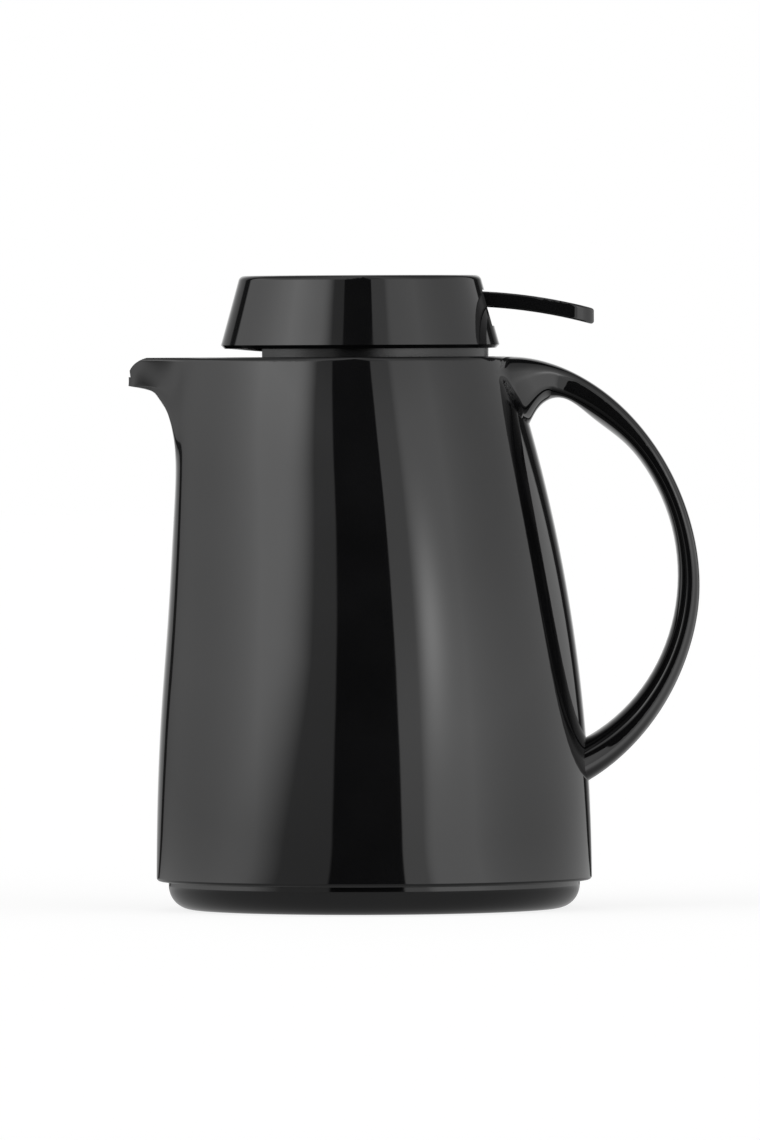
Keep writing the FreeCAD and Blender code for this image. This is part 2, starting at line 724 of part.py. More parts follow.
def vacuum_spacers():
    """Pads that keep the inner glass off the outer one."""
    outer = flask_radius() - GLASS - PAD_CLEARANCE
    inner = flask_radius() - GLASS - VACUUM_GAP + PAD_CLEARANCE
    bottom = (FLASK_BOTTOM + FLASK_CORNER + SHOULDER_BOTTOM - PAD_HEIGHT) / 2
    strip = rounded_outline([
        (inner, bottom),
        (outer, bottom),
        (outer, bottom + PAD_HEIGHT),
        (inner, bottom + PAD_HEIGHT),
    ])
    pads = []
    for index in range(PAD_COUNT):
        pad = Part.Face(strip).revolve(Vector(), Vector(0, 0, 1), 2 * PAD_HALF_ANGLE)
        pad.rotate(Vector(), Vector(0, 0, 1), 360 * index / PAD_COUNT)
        pad.translate(Vector(-MOUTH_OFFSET, 0, 0))
        pads.append(pad)
    return Part.makeCompound(pads)


def flask_cushion():
    """Rubber ring on the base under the flask, open for the pumping tip."""
    outline = rounded_outline([
        (CUSHION_HOLE, BASE_FLOOR),
        (CUSHION_RADIUS, BASE_FLOOR),
        (CUSHION_RADIUS, FLASK_BOTTOM),
        (CUSHION_HOLE, FLASK_BOTTOM),
    ])
    return turned(outline, -MOUTH_OFFSET)


def mouth_seal():
    """Soft ring over the flask's lip, with a collar that keeps the lip in the middle."""
    outside = FLASK_NECK_RADIUS + SEAT_CLEARANCE + MOUTH_SEAL_WALL
    outline = rounded_outline([
        (MOUTH_RADIUS, FLASK_TOP),
        (FLASK_NECK_RADIUS + SEAT_CLEARANCE, FLASK_TOP),
        (FLASK_NECK_RADIUS + SEAT_CLEARANCE, FLASK_TOP - MOUTH_SEAL_DROP),
        (outside, FLASK_TOP - MOUTH_SEAL_DROP),
        (outside, FLOOR_BOTTOM),
        (MOUTH_RADIUS, FLOOR_BOTTOM),
    ])
    return turned(outline, -MOUTH_OFFSET)


def lid_side(height):
    """Outer radius of the lid's sloping side at a height."""
    low = LID_BOTTOM + LID_EDGE_HEIGHT
    return LID_RADIUS - LID_TAPER * (height - low) / (LID_TOP - low)


def lid_cover():
    """Cap of the lid: sloping side, flat top, a slot for the lever and a spigot for the spring."""
    outline = rounded_outline([
        (0, LID_TOP),
        (LID_TOP_RADIUS, LID_TOP, LID_TOP_ROUNDING),
        (LID_RADIUS, LID_BOTTOM + LID_EDGE_HEIGHT),
        (LID_RADIUS - LID_EDGE_HEIGHT, LID_BOTTOM),
        (LID_SEAT_RADIUS, LID_BOTTOM),
        (LID_SEAT_RADIUS, DECK_TOP),
        (lid_side(DECK_TOP) - 2 * LID_WALL, DECK_TOP),
        (lid_side(LID_CEILING) - LID_WALL, LID_CEILING),
        (SPRING_SPIGOT_RADIUS, LID_CEILING),
        (SPRING_SPIGOT_RADIUS, LID_CEILING - SPRING_SPIGOT),
        (0, LID_CEILING - SPRING_SPIGOT),
    ])
    slot = block(
        (0, LID_RADIUS + MARGIN),
        (-SLOT_HALF_WIDTH, SLOT_HALF_WIDTH),
        (LID_TOP - SLOT_BOTTOM_DROP, LID_TOP - SLOT_TOP_DROP),
    )
    cover = turned(outline).cut(slot)
    cover.translate(Vector(-MOUTH_OFFSET, 0, 0))
    return cover


def lid_base():
    """Deck under the cap, with the skirt and its window, the stem's guide and the lever's lugs."""
    deck_radius = LID_SEAT_RADIUS - DECK_CLEARANCE
    deck = turned(rounded_outline([
        (0, DECK_BOTTOM),
        (DECK_FLAT_RADIUS, DECK_BOTTOM),
        (deck_radius, DECK_BOTTOM + DECK_DISH),
        (deck_radius, DECK_TOP),
        (0, DECK_TOP),
    ]))
    skirt = ring(SKIRT_RADIUS, SKIRT_RADIUS - SKIRT_WALL, SKIRT_BOTTOM, DECK_BOTTOM + DECK_DISH)
    window = block(
        (-LID_RADIUS, -DECK_FLAT_RADIUS + SKIRT_WALL),
        (-WINDOW_HALF_WIDTH, WINDOW_HALF_WIDTH),
        (SKIRT_BOTTOM + WINDOW_SILL, DECK_TOP),
    )
    groove = seal_ring(LID_SEAL_CLEARANCE)
    guide = cylinder(GUIDE_RADIUS, DECK_BOTTOM - GUIDE_FALL, DECK_TOP + GUIDE_RISE)
    bore = cylinder(STEM_RADIUS + GUIDE_CLEARANCE, DECK_BOTTOM - MARGIN, DECK_TOP + MARGIN)
    seal_room = cylinder(
        STEM_RADIUS + STEM_SEAL_WALL,
        DECK_BOTTOM - MARGIN,
        DECK_BOTTOM - GUIDE_FALL + STEM_SEAL_HEIGHT,
    )
    base = deck.fuse(skirt.cut(window).cut(groove)).fuse(guide)
    for side in (-1, 1):
        base = base.fuse(pivot_lug(side))
    base = base.cut(bore).cut(seal_room).cut(pin_bar(PIN_CLEARANCE)).removeSplitter()
    base.translate(Vector(-MOUTH_OFFSET, 0, 0))
    return base


def lug_inner():
    """Distance from the middle plane to the inner face of a pivot lug."""
    return LEVER_WIDTH / 2 + LUG_GAP


def pivot_lug(side):
    """Upright lug beside the lever, round over the pin."""
    width = (0, LUG_THICKNESS)
    post = block((PIVOT_X - LUG_RADIUS, PIVOT_X + LUG_RADIUS), width, (DECK_TOP, PIVOT_Z))
    head = Part.makeCylinder(LUG_RADIUS, LUG_THICKNESS, Vector(PIVOT_X, 0, PIVOT_Z), Vector(0, 1, 0))
    lug = post.fuse(head)
    start = lug_inner() if side > 0 else -lug_inner() - LUG_THICKNESS
    lug.translate(Vector(0, start, 0))
    return lug


def pin_bar(clearance):
    """Round bar of the lever's pin, with a clearance round it."""
    half = lug_inner() + LUG_THICKNESS
    start = Vector(PIVOT_X, -half, PIVOT_Z)
    return Part.makeCylinder(PIN_RADIUS + clearance, 2 * half, start, Vector(0, 1, 0))


def lever_pin():
    """Steel pin through the two lugs and the lever."""
    pin = pin_bar(0.0)
    pin.translate(Vector(-MOUTH_OFFSET, 0, 0))
    return pin


def seal_ring(clearance):
    """Ring form of the seal round the skirt, or of its groove with a clearance."""
    bottom = SKIRT_BOTTOM + LID_SEAL_LIFT
    outside = NECK_BORE - LID_SEAL_SIDE
    return ring(
        outside + clearance,
        outside - LID_SEAL_SIZE - clearance,
        bottom - clearance,
        bottom + LID_SEAL_SIZE + clearance,
    )


def lid_seal():
    """Soft ring in the skirt's groove, against the neck."""
    seal = seal_ring(0.0)
    seal.translate(Vector(-MOUTH_OFFSET, 0, 0))
    return seal


def lever_height(x, radius):
    """Height over a point of an arc of the lever, which is level at the crest and bends down outward."""
    crest_x = PIVOT_X + LEVER_CREST
    bend_middle = LID_TOP - LEVER_DROP - LEVER_BEND
    return bend_middle + math.sqrt(radius ** 2 - (x - crest_x) ** 2)


def lever_tongue():
    """Bent tongue of the lever with a round end and softened edges."""
    start = PIVOT_X - HUB_RADIUS
    stations = (start, (start + LEVER_REACH) / 2, LEVER_REACH)
    top = [Vector(x, 0, lever_height(x, LEVER_BEND)) for x in stations]
    bottom = [Vector(x, 0, lever_height(x, LEVER_BEND - LEVER_THICKNESS)) for x in stations]
    side = Part.Wire([
        Part.Arc(*top).toShape(),
        Part.makeLine(top[-1], bottom[-1]),
        Part.Arc(*reversed(bottom)).toShape(),
        Part.makeLine(bottom[0], top[0]),
    ])
    half = LEVER_WIDTH / 2
    straight_end = LEVER_REACH - half
    height = (PIVOT_Z - MARGIN, LID_TOP)
    plan = block((start, straight_end), (-half, half), height).fuse(cylinder(half, *height, straight_end))
    tongue = crosswise(side, LEVER_WIDTH).common(plan.removeSplitter())
    boxes = [(edge, edge.BoundBox) for edge in tongue.Edges]
    long_edges = [edge for edge, box in boxes if box.XMax > start + HUB_RADIUS and box.XLength > half / 2]
    return tongue.makeFillet(LEVER_EDGE_ROUNDING, long_edges)


def thumb_lever():
    """Lever: thumb tongue outside the lid, hub on the pin, fork under the stem's head."""
    half = LEVER_WIDTH / 2
    across = Vector(0, 1, 0)
    hub = Part.makeCylinder(HUB_RADIUS, LEVER_WIDTH, Vector(PIVOT_X, -half, PIVOT_Z), across)
    nose = Part.makeCylinder(NOSE_RADIUS, LEVER_WIDTH, Vector(0, -half, PIVOT_Z), across)
    arm = block((0, PIVOT_X), (-half, half), (PIVOT_Z - NOSE_RADIUS, PIVOT_Z + NOSE_RADIUS))
    gap = STEM_RADIUS + FORK_CLEARANCE
    stem_way = block((-MARGIN, gap + FORK_CLEARANCE), (-gap, gap), (PIVOT_Z - MARGIN, PIVOT_Z + HUB_RADIUS))
    tongue_bottom = lever_height(PIVOT_X, LEVER_BEND - LEVER_THICKNESS)
    neck_length = (PIVOT_X - HUB_RADIUS, PIVOT_X + HUB_RADIUS)
    neck = block(neck_length, (-half, half), (PIVOT_Z, tongue_bottom + LEVER_EDGE_ROUNDING))
    lever = lever_tongue().fuse([neck, hub, arm, nose])
    lever = lever.cut(stem_way).cut(pin_bar(PIN_CLEARANCE)).removeSplitter()
    lever.translate(Vector(-MOUTH_OFFSET, 0, 0))
    return lever


def valve_stem():
    """Stem through the deck, with the head that the fork lifts and the spring presses on."""
    bottom = PLUG_BOTTOM + STEM_SOCKET_FLOOR
    rod = cylinder(STEM_RADIUS, bottom, HEAD_BOTTOM, -MOUTH_OFFSET)
    head = cylinder(STEM_HEAD_RADIUS, HEAD_BOTTOM, HEAD_TOP, -MOUTH_OFFSET)
    spigot = cylinder(STEM_SPIGOT_RADIUS, HEAD_TOP, HEAD_TOP + STEM_SPIGOT, -MOUTH_OFFSET)
    return rod.fuse([head, spigot]).removeSplitter()


def stem_seal():
    """Soft ring round the stem, in the lower end of its guide."""
    bottom = DECK_BOTTOM - GUIDE_FALL
    outer = STEM_RADIUS + STEM_SEAL_WALL - STEM_SEAL_CLEARANCE
    return ring(outer, STEM_RADIUS + STEM_SEAL_CLEARANCE, bottom, bottom + STEM_SEAL_HEIGHT, -MOUTH_OFFSET)


def valve_plug():
    """Plug over the mouth of the flask, with a socket for the stem."""
    hub_top = PLATE_TOP + PLUG_HUB_HEIGHT
    outline = rounded_outline([
        (0, PLUG_BOTTOM),
        (PLUG_BOSS_RADIUS, PLUG_BOTTOM),
        (PLUG_BOSS_RADIUS, PLATE_BOTTOM),
        (PLUG_RADIUS, PLATE_BOTTOM),
        (PLUG_RADIUS, PLATE_TOP),
        (PLUG_HUB_RADIUS, PLATE_TOP),
        (PLUG_HUB_RADIUS, hub_top),
        (0, hub_top),
    ])
    socket = cylinder(STEM_RADIUS + SOCKET_CLEARANCE, PLUG_BOTTOM + STEM_SOCKET_FLOOR, hub_top + MARGIN)
    plug = turned(outline).cut(socket)
    plug.translate(Vector(-MOUTH_OFFSET, 0, 0))
    return plug


def valve_seal():
    """Soft ring under the plug's plate, which shuts on the neck's floor."""
    inner = PLUG_BOSS_RADIUS + SOCKET_CLEARANCE
    return ring(PLUG_RADIUS + VALVE_SEAL_EXTRA, inner, SEAL_BOTTOM, PLATE_BOTTOM, -MOUTH_OFFSET)


def helix_point(turns, pitch, bottom):
    """Point of the spring's wire after some turns, with the direction it runs in there."""
    angle = 2 * math.pi * turns
    point = Vector(SPRING_RADIUS * math.cos(angle), SPRING_RADIUS * math.sin(angle), bottom + pitch * turns)
    run = Vector(-SPRING_RADIUS * math.sin(angle), SPRING_RADIUS * math.cos(angle), pitch / (2 * math.pi))
    return point, run.normalize()


def tangent_arc(start, control, end):
    """Arc from start to end that leaves start toward the control point and arrives from it."""
    chord_middle = (start + end) * 0.5
    bend = (control - start).getAngle(end - control)
    crest = chord_middle + (control - chord_middle) * (math.tan(bend / 4) / math.tan(bend / 2))
    return Part.Arc(start, crest, end).toShape()


def biarc(start, start_run, end, end_run):
    """Two arcs that join two points and their directions smoothly."""
    chord = end - start
    runs = start_run + end_run
    square = runs.dot(runs) - 4
    along = chord.dot(runs)
    reach = (along - math.sqrt(along ** 2 - square * chord.dot(chord))) / square
    first = start + start_run * reach
    second = end - end_run * reach
    joint = (first + second) * 0.5
    return [tangent_arc(start, first, joint), tangent_arc(joint, second, end)]


def least_gap(wire, spacing):
    """Least distance between turns of a wound wire, measured on points along it."""
    points = wire.discretize(Distance=spacing)
    apart = int(math.pi * SPRING_RADIUS / spacing)
    gaps = [
        first.distanceToPoint(second)
        for index, first in enumerate(points)
        for second in points[index + apart:]
    ]
    return min(gaps) - 2 * SPRING_WIRE_RADIUS


def valve_spring():
    """Coil spring between the stem's head and the ceiling of the cap."""
    end_space = SPRING_END_GAP + SPRING_WIRE_RADIUS
    bottom = HEAD_TOP + end_space
    pitch = (LID_CEILING - end_space - bottom) / SPRING_TURNS
    edges = []
    for half in range(2 * SPRING_TURNS):
        start = helix_point(half / 2, pitch, bottom)
        end = helix_point((half + 1) / 2, pitch, bottom)
        edges += biarc(*start, *end)
    path = Part.Wire(edges)
    point, run = helix_point(0, pitch, bottom)
    section = Part.Wire(Part.makeCircle(SPRING_WIRE_RADIUS, point, run))
    spring = path.makePipeShell([section], True, False)
    print("least gap of the spring to itself:", round(least_gap(path, SPRING_WIRE_RADIUS), 2))
    spring.translate(Vector(-MOUTH_OFFSET, 0, 0))
    return spring


def main():
    """Build every piece and write each to its own file."""
    body = outer_body()
    pieces = {
        "jug_shell": jug_shell(body),
        "handle": handle(body),
        "base_cover": base_cover(),
        "base_gasket": base_gasket(),
        "flask_outer": flask_outer(),
        "flask_inner": flask_inner(),
        "vacuum_spacers": vacuum_spacers(),
        "flask_cushion": flask_cushion(),
        "mouth_seal": mouth_seal(),
        "lid_seal": lid_seal(),
        "lid_cover": lid_cover(),
        "lid_base": lid_base(),
        "lever_pin": lever_pin(),
        "thumb_lever": thumb_lever(),
        "valve_stem": valve_stem(),
        "stem_seal": stem_seal(),
        "valve_plug": valve_plug(),
        "valve_seal": valve_seal(),
        "valve_spring": valve_spring(),
    }
    os.makedirs("parts", exist_ok=True)
    for name, shape in pieces.items():
        shape.exportStep("parts/" + name + ".step")


main()
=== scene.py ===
"""Looks of the thermal carafe: finishes, shading, studio and camera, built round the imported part."""

import math

import bmesh
import bpy
import numpy as np
from bpy.props import FloatProperty, FloatVectorProperty, PointerProperty
from bpy.types import Operator, Panel, PropertyGroup
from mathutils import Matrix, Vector


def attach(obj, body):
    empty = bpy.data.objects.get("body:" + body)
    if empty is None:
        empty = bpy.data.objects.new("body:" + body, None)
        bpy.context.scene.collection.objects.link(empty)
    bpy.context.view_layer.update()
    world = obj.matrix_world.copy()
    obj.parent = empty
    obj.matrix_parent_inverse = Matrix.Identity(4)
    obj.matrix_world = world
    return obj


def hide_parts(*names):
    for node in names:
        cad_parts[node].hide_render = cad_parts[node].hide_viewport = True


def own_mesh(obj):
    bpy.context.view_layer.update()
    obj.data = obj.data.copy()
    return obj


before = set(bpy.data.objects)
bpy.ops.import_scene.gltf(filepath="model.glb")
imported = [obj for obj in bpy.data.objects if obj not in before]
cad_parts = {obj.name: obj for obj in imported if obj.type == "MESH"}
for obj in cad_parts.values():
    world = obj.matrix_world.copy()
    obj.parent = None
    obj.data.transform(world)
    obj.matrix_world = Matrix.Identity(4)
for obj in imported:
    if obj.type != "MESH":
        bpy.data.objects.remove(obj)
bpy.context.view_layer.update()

bl_info = {
    "name": "Thermal carafe",
    "version": (1, 0, 0),
    "blender": (4, 5, 0),
    "location": "View3D > Sidebar > Carafe",
    "description": "Dresses the packed thermal carafe and sets up its studio",
    "category": "Object",
}

# Body of the jug in metres and degrees, as in the part's source: a cone with a swelling front and a beak
FOOT_RADIUS = 0.074
FOOT_HEIGHT = 0.0096
FOOT_ROUNDING = 0.0012
RIM_RADIUS = 0.0505
RIM_HEIGHT = 0.1875
RIM_ROUNDING = 0.0014
MOUTH_OFFSET = 0.004
TAPER_POWER = 2.1
KEEL_HEIGHT = 0.08
KEEL_SWELL = 0.0048
SWELL_POWER = 4
BEAK_HEIGHT = 0.15
BEAK_UNDERSIDE = 0.1774
BEAK_FLARE = 0.0132
BEAK_POWER = 2.3
BEAK_ANGLE = 7.8
BEAK_BLUNTNESS = 3
BEAK_SIDE_POWER = 2.2
RIDGE_ANGLE = 4.5
LIP_REACH = 0.0027

# Handle in metres, as in the part's source: the space between two ovals round a centre.
# Each oval has the height of its middle, its reach, its rise, its fall and its power.
HANDLE_AXIS = 0.047
HANDLE_MIDDLE = 0.11
HANDLE_OUTSIDE = (0.11, 0.0641, 0.0774, 0.0745, 1.87)
HANDLE_INSIDE = (0.113, 0.0566, 0.0615, 0.0615, 2.0)
HANDLE_START = math.radians(-73.0)
HANDLE_END = math.radians(97.0)
OVAL_HALVINGS = 50
GRIP_HALF_WIDTH = 0.011
GRIP_OUTER_POWER = 3.4
GRIP_INNER_POWER = 2.1
ROOT_OUTER_POWER = 5.0
ROOT_SIDE_FILLET = 0.042
ROOT_LOW_FILLET = 0.006
ROOT_DROP = 0.027
ROOT_SIDE_OVERLAP = 0.0005
ROOT_FILLET = 0.024
ROOT_START = math.radians(78.0)
ROOT_SPREAD = math.radians(12.0)
FOOT_ROOT_WIDENING = 0.004
FOOT_ROOT_SPREAD = math.radians(28.0)
ROOT_BLEND = 0.0025

# Finer meshes: vertices this close become one. Then edges longer than a pair's first number are split,
# where they lie higher than its second.
WELD_DISTANCE = 0.0001
REFINING_PASSES = 2
RIM_BAND = 0.004
JUG_REFINING = (0.0008, RIM_HEIGHT - RIM_BAND)
HANDLE_REFINING = (0.0012, 0.0)

# Shading normals: the step they are measured over, and how far they may turn from the mesh's own faces.
# A face that turns further than the last angle belongs to another surface and keeps its own normals.
NORMAL_STEP = 1e-5
SHORTEST = 1e-12
JUG_NORMAL_LIMIT = math.radians(22.0)
HANDLE_NORMAL_LIMIT = math.radians(180.0)
OTHER_SURFACE = math.cos(math.radians(80.0))

# Finishes: values of a noise between which a finish changes, and of pointiness between which an edge is worn
PATCHES = (0.3, 0.75)
GLOSS_PATCHES = (0.35, 0.7)
HAZE_PATCHES = (0.35, 0.75)
WORN_EDGES = (0.52, 0.6)
GLOSS_HAZE = 0.02
GLOSS_WEAR = 0.06
GLOSS_IOR = 1.5
PLAIN_SPREAD = 0.06
PLAIN_WEAR = -0.12
SOFT_SPREAD = 0.14
SOFT_DEPTH = 0.002
METAL_SPREAD = 0.12
DRAWN_STRETCH = (1.0, 1.0, 0.1)
BLOWN_STRETCH = (1.0, 1.0, 0.2)

# Studio, by direction: across is y over the size of x, and height is z over the distance from the upright
# axis. A softbox on each side has levels up its height. It opens at a soft edge, and dimly at a sharp line
# before that, fades toward the back and ends. A dark gap and a white wall follow. Edge, line and end lean
# with the height.
LEFT_SIDE = {
    "levels": ((0.0, 0.55), (0.05, 0.6), (0.14, 0.66), (0.25, 0.7), (0.37, 0.8), (0.43, 0.74), (0.5, 0.5),
               (0.62, 0.38), (1.0, 0.26)),
    "edge": 0.65,
    "edge_width": 0.6,
    "edge_low_lean": 3.6,
    "edge_upper_lean": 1.5,
    "line": 2.45,
    "line_level": 0.22,
    "fade_start": -0.45,
    "fade_least": 0.0,
    "end": 1.6,
    "end_lean": 4.6,
    "wall": 1.95,
    "wall_level": 0.3,
    "wall_growth": 0.2,
}
RIGHT_SIDE = {
    "levels": ((0.0, 0.52), (0.1, 0.6), (0.16, 0.57), (0.24, 0.5), (0.41, 0.46), (0.5, 0.38), (0.62, 0.32),
               (1.0, 0.24)),
    "edge": 2.1,
    "edge_width": 0.55,
    "edge_low_lean": 0.3,
    "edge_upper_lean": 0.3,
    "line": 3.75,
    "line_level": 0.6,
    "fade_start": -0.7,
    "fade_least": 0.21,
    "end": 1.9,
    "end_lean": 4.2,
    "wall": 2.35,
    "wall_level": 0.08,
    "wall_growth": 0.28,
}
LEVELS_TOP = 1.2
LOW_TOP = 0.17
SOFTBOX_STRENGTH = 4.6
LINE_WIDTH = 0.12
LINE_LEAN = 2.0
FADE_RATE = 1.05
END_WIDTH = 0.1
WALL_WIDTH = 0.15
SPOT_ACROSS = -1.42
SPOT_WIDTH = 0.36
SPOT_HEIGHT = 0.24
SPOT_RISE = 0.11
SPOT_STRENGTH = 2.6
DARKEST = 0.03
STUDIO_LEVEL = 0.8
LEAST_ASIDE = 0.001
LEAST_LEVEL = 0.01

# Floor: its size and depth in metres, its own tone and glow, and the ring in which its mirror image gets dim
FLOOR_HALF = 12.0
FLOOR_DEPTH = -0.0001
FLOOR_TONE = 0.25
FLOOR_GLOW = 0.82
FLOOR_NEAR = (0.09, 0.24)
FLOOR_NEAR_LEVEL = 0.4
VIEW_END = 100.0


class CarafeFinish(PropertyGroup):
    """Colours and gloss of the carafe's finishes."""

    plastic_colour: FloatVectorProperty(
        name="Gloss plastic",
        description="Colour of the polished body, handle, base, lid and lever",
        subtype="COLOR",
        min=0.0,
        max=1.0,
        default=(0.0052, 0.0052, 0.0056),
    )
    plastic_roughness: FloatProperty(
        name="Gloss roughness",
        description="Roughness of the polished plastic away from its edges",
        subtype="FACTOR",
        min=0.0,
        max=1.0,
        default=0.035,
    )
    inner_colour: FloatVectorProperty(
        name="Matt plastic",
        description="Colour of the plain moulded parts inside the lid",
        subtype="COLOR",
        min=0.0,
        max=1.0,
        default=(0.008, 0.008, 0.0085),
    )
    silicone_colour: FloatVectorProperty(
        name="Silicone",
        description="Colour of the sealing rings that touch the drink",
        subtype="COLOR",
        min=0.0,
        max=1.0,
        default=(0.62, 0.62, 0.6),
    )
    rubber_colour: FloatVectorProperty(
        name="Soft rubber",
        description="Colour of the cushion and gasket round the base",
        subtype="COLOR",
        min=0.0,
        max=1.0,
        default=(0.03, 0.03, 0.031),
    )
    pad_colour: FloatVectorProperty(
        name="Spacer pads",
        description="Colour of the pads between the two glasses",
        subtype="COLOR",
        min=0.0,
        max=1.0,
        default=(0.33, 0.32, 0.3),
    )
    steel_colour: FloatVectorProperty(
        name="Steel",
        description="Colour of the drawn steel of the spring and the pin",
        subtype="COLOR",
        min=0.0,
        max=1.0,
        default=(0.58, 0.58, 0.6),
    )
    silver_colour: FloatVectorProperty(
        name="Silvering",
        description="Colour of the silvered glass",
        subtype="COLOR",
        min=0.0,
        max=1.0,
        default=(0.85, 0.86, 0.88),
    )


class CarafeStage(PropertyGroup):
    """Camera and floor of the carafe."""

    camera_distance: FloatProperty(
        name="Camera distance",
        description="Distance of the camera from the carafe's mirror plane",
        unit="LENGTH",
        default=5.08,
    )
    camera_height: FloatProperty(
        name="Camera height",
        description="Height of the camera over the floor, level with the gap under the lid",
        unit="LENGTH",
        default=0.1915,
    )
    view_middle_x: FloatProperty(
        name="View middle, along",
        description="Place along X that the picture's middle shows",
        unit="LENGTH",
        default=0.0024,
    )
    view_middle_z: FloatProperty(
        name="View middle, up",
        description="Height that the picture's middle shows",
        unit="LENGTH",
        default=0.115,
    )
    view_height: FloatProperty(
        name="View height",
        description="Height of the picture's frame at the carafe",
        unit="LENGTH",
        default=0.3876,
    )
    camera_roll: FloatProperty(
        name="Camera roll",
        description="Turn of the camera about its own axis",
        unit="ROTATION",
        default=math.radians(-0.25),
    )
    floor_colour: FloatVectorProperty(
        name="Floor",
        description="Colour of the floor and the background",
        subtype="COLOR",
        min=0.0,
        max=1.0,
        default=(1.0, 1.0, 1.0),
    )


def link(tree, source, target):
    """Join an output socket to an input socket."""
    tree.links.new(source, target)


def math_node(tree, operation, *values):
    """Output of a math node whose inputs are sockets or numbers."""
    node = tree.nodes.new("ShaderNodeMath")
    node.operation = operation
    for socket, value in zip(node.inputs, values):
        if isinstance(value, (int, float)):
            socket.default_value = value
        else:
            link(tree, value, socket)
    return node.outputs[0]


def total(tree, first, *others):
    """Sum of sockets and numbers."""
    for other in others:
        first = math_node(tree, "ADD", first, other)
    return first


def product(tree, first, *others):
    """Product of sockets and numbers."""
    for other in others:
        first = math_node(tree, "MULTIPLY", first, other)
    return first


def ranged(tree, value, low, high, out_low, out_high):
    """A value mapped from one range to another with a smooth step."""
    node = tree.nodes.new("ShaderNodeMapRange")
    node.interpolation_type = "SMOOTHSTEP"
    link(tree, value, node.inputs["Value"])
    ends = {"From Min": low, "From Max": high, "To Min": out_low, "To Max": out_high}
    for name, number in ends.items():
        node.inputs[name].default_value = number
    return node.outputs["Result"]


def ramp(tree, value, stops):
    """Output of a colour ramp whose stops are places with grey levels or colours."""
    node = tree.nodes.new("ShaderNodeValToRGB")
    link(tree, value, node.inputs["Fac"])
    elements = node.color_ramp.elements
    while len(elements) < len(stops):
        elements.new(0.5)
    for element, (place, level) in zip(elements, stops):
        element.position = place
        colour = (level,) * 3 if isinstance(level, (int, float)) else tuple(level)
        element.color = (*colour, 1.0)
    return node.outputs["Color"]


def noise(tree, scale, detail=3.0, stretch=None):
    """Output of a noise texture in the carafe's own space, in cells per metre."""
    place = tree.nodes.new("ShaderNodeTexCoord").outputs["Object"]
    if stretch:
        mapping = tree.nodes.new("ShaderNodeMapping")
        mapping.inputs["Scale"].default_value = stretch
        link(tree, place, mapping.inputs["Vector"])
        place = mapping.outputs["Vector"]
    node = tree.nodes.new("ShaderNodeTexNoise")
    node.inputs["Scale"].default_value = scale
    node.inputs["Detail"].default_value = detail
    link(tree, place, node.inputs["Vector"])
    return node.outputs["Fac"]


def edge_wear(tree):
    """Share of wear along convex edges, from 0 to 1."""
    pointiness = tree.nodes.new("ShaderNodeNewGeometry").outputs["Pointiness"]
    return ranged(tree, pointiness, *WORN_EDGES, 0.0, 1.0)


def bump(tree, height, strength, distance):
    """Normal that a height pattern gives."""
    node = tree.nodes.new("ShaderNodeBump")
    node.inputs["Strength"].default_value = strength
    node.inputs["Distance"].default_value = distance
    link(tree, height, node.inputs["Height"])
    return node.outputs["Normal"]


def shade(colour, factor):
    """A colour made lighter or darker by a factor."""
    return tuple(min(1.0, channel * factor) for channel in colour)


def mottled(tree, pattern, places, colour, factors):
    """A colour that goes from one shade of it to another between two places of a pattern."""
    stops = [(place, shade(colour, factor)) for place, factor in zip(places, factors)]
    return ramp(tree, pattern, stops)


def new_material(name):
    """A material with its node tree and its shader."""
    material = bpy.data.materials.new(name)
    material.use_nodes = True
    tree = material.node_tree
    return material, tree, tree.nodes["Principled BSDF"]


def gloss_plastic(colour, roughness):
    """Polished black plastic: deep, with faint handling haze, moulding waves and softer edges."""
    material, tree, shader = new_material("gloss_black_plastic")
    tone = mottled(tree, noise(tree, scale=30.0), GLOSS_PATCHES, colour, (0.8, 1.25))
    link(tree, tone, shader.inputs["Base Color"])
    haze = ranged(tree, noise(tree, scale=18.0, detail=5.0), *HAZE_PATCHES, 0.0, GLOSS_HAZE)
    worn = product(tree, edge_wear(tree), GLOSS_WEAR)
    link(tree, total(tree, haze, worn, roughness), shader.inputs["Roughness"])
    waves = bump(tree, noise(tree, scale=55.0, detail=1.0), strength=0.012, distance=0.001)
    link(tree, waves, shader.inputs["Normal"])
    shader.inputs["IOR"].default_value = GLOSS_IOR
    return material


def plain_plastic(name, colour, roughness, grain):
    """Spark-eroded plastic with a fine grain."""
    material, tree, shader = new_material(name)
    tone = mottled(tree, noise(tree, scale=60.0), PATCHES, colour, (0.75, 1.3))
    link(tree, tone, shader.inputs["Base Color"])
    rubbed = product(tree, edge_wear(tree), PLAIN_WEAR)
    ends = (roughness - PLAIN_SPREAD, roughness + PLAIN_SPREAD)
    patches = ranged(tree, noise(tree, scale=25.0), *PATCHES, *ends)
    link(tree, total(tree, patches, rubbed), shader.inputs["Roughness"])
    skin = bump(tree, noise(tree, grain, detail=2.0), strength=0.15, distance=0.0002)
    link(tree, skin, shader.inputs["Normal"])
    return material


def soft_material(name, colour, roughness, see_through):
    """Silicone or rubber: soft gloss, slight translucency and a fine skin."""
    material, tree, shader = new_material(name)
    tone = mottled(tree, noise(tree, scale=90.0), PATCHES, colour, (0.88, 1.08))
    link(tree, tone, shader.inputs["Base Color"])
    patches = ranged(tree, noise(tree, scale=45.0), *PATCHES, roughness, roughness + SOFT_SPREAD)
    link(tree, patches, shader.inputs["Roughness"])
    skin = bump(tree, noise(tree, scale=900.0, detail=2.0), strength=0.1, distance=0.0001)
    link(tree, skin, shader.inputs["Normal"])
    shader.inputs["Subsurface Weight"].default_value = see_through
    shader.inputs["Subsurface Radius"].default_value = (SOFT_DEPTH,) * 3
    return material


